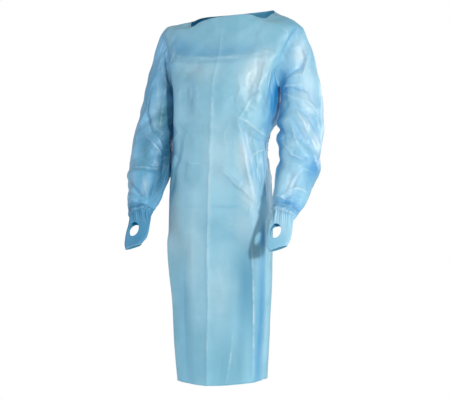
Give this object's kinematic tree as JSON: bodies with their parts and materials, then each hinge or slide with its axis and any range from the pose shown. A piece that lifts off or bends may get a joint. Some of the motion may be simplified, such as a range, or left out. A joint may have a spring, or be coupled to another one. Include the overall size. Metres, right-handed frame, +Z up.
{
  "type": "isolation gown",
  "caption": "Worn, empty film gown with boat neck, laps at the back, waist ties and long sleeves that end in cuffs with thumb holes.",
  "frame": {"origin": "where the wearer's shoulders carry the gown, midway between the two ends of the neck opening", "axes": "+Z up, -Y is the front of the gown, +X is the wearer's left"},
  "size_m": [0.6533, 0.3124, 1.201],
  "materials": {
    "film": "thin embossed light blue polyethylene film, slightly glossy",
    "sleeve_film": "thin embossed light blue polyethylene film, slightly glossy",
    "cuff_film": "two layers of thin embossed light blue film, gathered above",
    "tie_film": "folded strips of the same film"
  },
  "bodies": {
    "root": {"front": "film", "back_left": "film", "back_right": "film", "sleeve_left": "sleeve_film", "sleeve_right": "sleeve_film", "cuff_left": "cuff_film", "cuff_right": "cuff_film", "tie_left": "tie_film", "tie_right": "tie_film", "tie_knot": "tie_film", "tie_end_left": "tie_film", "tie_end_right": "tie_film"}
  },
  "joints": []
}
